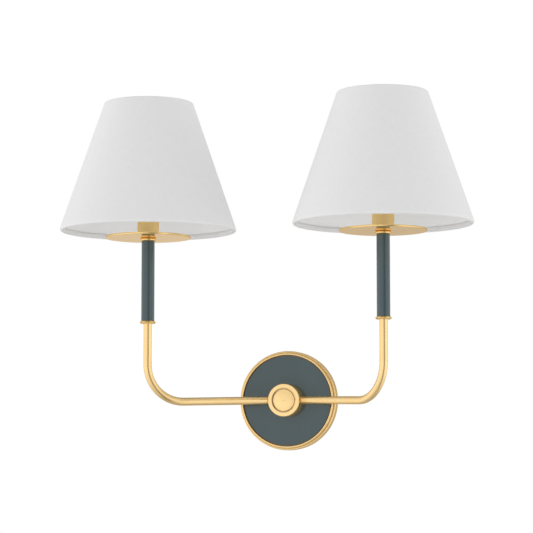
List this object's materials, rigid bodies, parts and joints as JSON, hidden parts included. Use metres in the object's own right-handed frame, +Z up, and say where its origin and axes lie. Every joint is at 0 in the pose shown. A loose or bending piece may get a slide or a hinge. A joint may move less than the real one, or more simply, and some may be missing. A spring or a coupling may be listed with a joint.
{
  "type": "wall sconce",
  "caption": "Wall light with a round backplate, a central hub and swept arms that rise into sleeved stems, each with a candle socket, a glare disc and a tapered fabric shade.",
  "frame": {"origin": "centre of the backplate's back rim, on the wall", "axes": "+Z up, +Y into the wall, +X to the right of someone who faces the wall"},
  "size_m": [0.52, 0.234, 0.4336],
  "materials": {
    "brass": "satin, aged",
    "slate_paint": "satin paint",
    "zinc_steel": "zinc plated",
    "ground_green": "green passivated",
    "contact_brass": "bare",
    "phenolic": "moulded",
    "lead_sleeve": "moulded",
    "shade_fabric": "plain weave",
    "shade_liner": "translucent sheet",
    "frame_wire": "powder coat",
    "lamp_cap": "rolled",
    "lamp_glass": "frosted"
  },
  "bodies": {
    "fixture": {"backplate": "brass", "hub_body": "brass", "hub_cap": "brass", "mounting_crossbar": "zinc_steel", "backplate_set_screws": "zinc_steel", "hub_nipple": "zinc_steel", "hub_washer": "zinc_steel", "hub_nut": "zinc_steel", "backplate_face": "slate_paint", "ground_screw": "ground_green", "left_arm_tube": "brass", "left_arm_lead": "lead_sleeve", "left_collar": "brass", "left_stem_sleeve": "slate_paint", "left_neck_ring": "brass", "left_glare_disc": "brass", "left_socket_cup": "brass", "left_stem_nut": "zinc_steel", "left_socket_body": "phenolic", "left_screw_shell": "contact_brass", "left_centre_contact": "contact_brass", "right_arm_tube": "brass", "right_arm_lead": "lead_sleeve", "right_collar": "brass", "right_stem_sleeve": "slate_paint", "right_neck_ring": "brass", "right_glare_disc": "brass", "right_socket_cup": "brass", "right_stem_nut": "zinc_steel", "right_socket_body": "phenolic", "right_screw_shell": "contact_brass", "right_centre_contact": "contact_brass"},
    "left_shade": {"left_shade_fabric": "shade_fabric", "left_shade_liner": "shade_liner", "left_shade_bottom_ring": "frame_wire", "left_shade_top_ring": "frame_wire", "left_shade_fitter": "frame_wire", "left_shade_spider": "frame_wire"},
    "left_retainer": {"left_shade_retainer": "phenolic"},
    "left_lamp": {"left_lamp_base": "lamp_cap", "left_lamp_glass": "lamp_glass"},
    "right_shade": {"right_shade_fabric": "shade_fabric", "right_shade_liner": "shade_liner", "right_shade_bottom_ring": "frame_wire", "right_shade_top_ring": "frame_wire", "right_shade_fitter": "frame_wire", "right_shade_spider": "frame_wire"},
    "right_retainer": {"right_shade_retainer": "phenolic"},
    "right_lamp": {"right_lamp_base": "lamp_cap", "right_lamp_glass": "lamp_glass"}
  },
  "joints": [
    {"name": "left_shade_lift", "type": "slide", "parent": "fixture", "child": "left_shade", "axis": [0, 0, 1], "range_m": [0, 0.11]},
    {"name": "left_retainer_turn", "type": "hinge", "parent": "left_shade", "child": "left_retainer", "pos_m": [-0.15, -0.124, 0.2352], "axis": [0, 0, 1], "range_deg": [0, 1080]},
    {"name": "left_lamp_turn", "type": "hinge", "parent": "fixture", "child": "left_lamp", "pos_m": [-0.15, -0.124, 0.2352], "axis": [0, 0, 1], "range_deg": [0, 1440]},
    {"name": "right_shade_lift", "type": "slide", "parent": "fixture", "child": "right_shade", "axis": [0, 0, 1], "range_m": [0, 0.11]},
    {"name": "right_retainer_turn", "type": "hinge", "parent": "right_shade", "child": "right_retainer", "pos_m": [0.15, -0.124, 0.2352], "axis": [0, 0, 1], "range_deg": [0, 1080]},
    {"name": "right_lamp_turn", "type": "hinge", "parent": "fixture", "child": "right_lamp", "pos_m": [0.15, -0.124, 0.2352], "axis": [0, 0, 1], "range_deg": [0, 1440]}
  ]
}
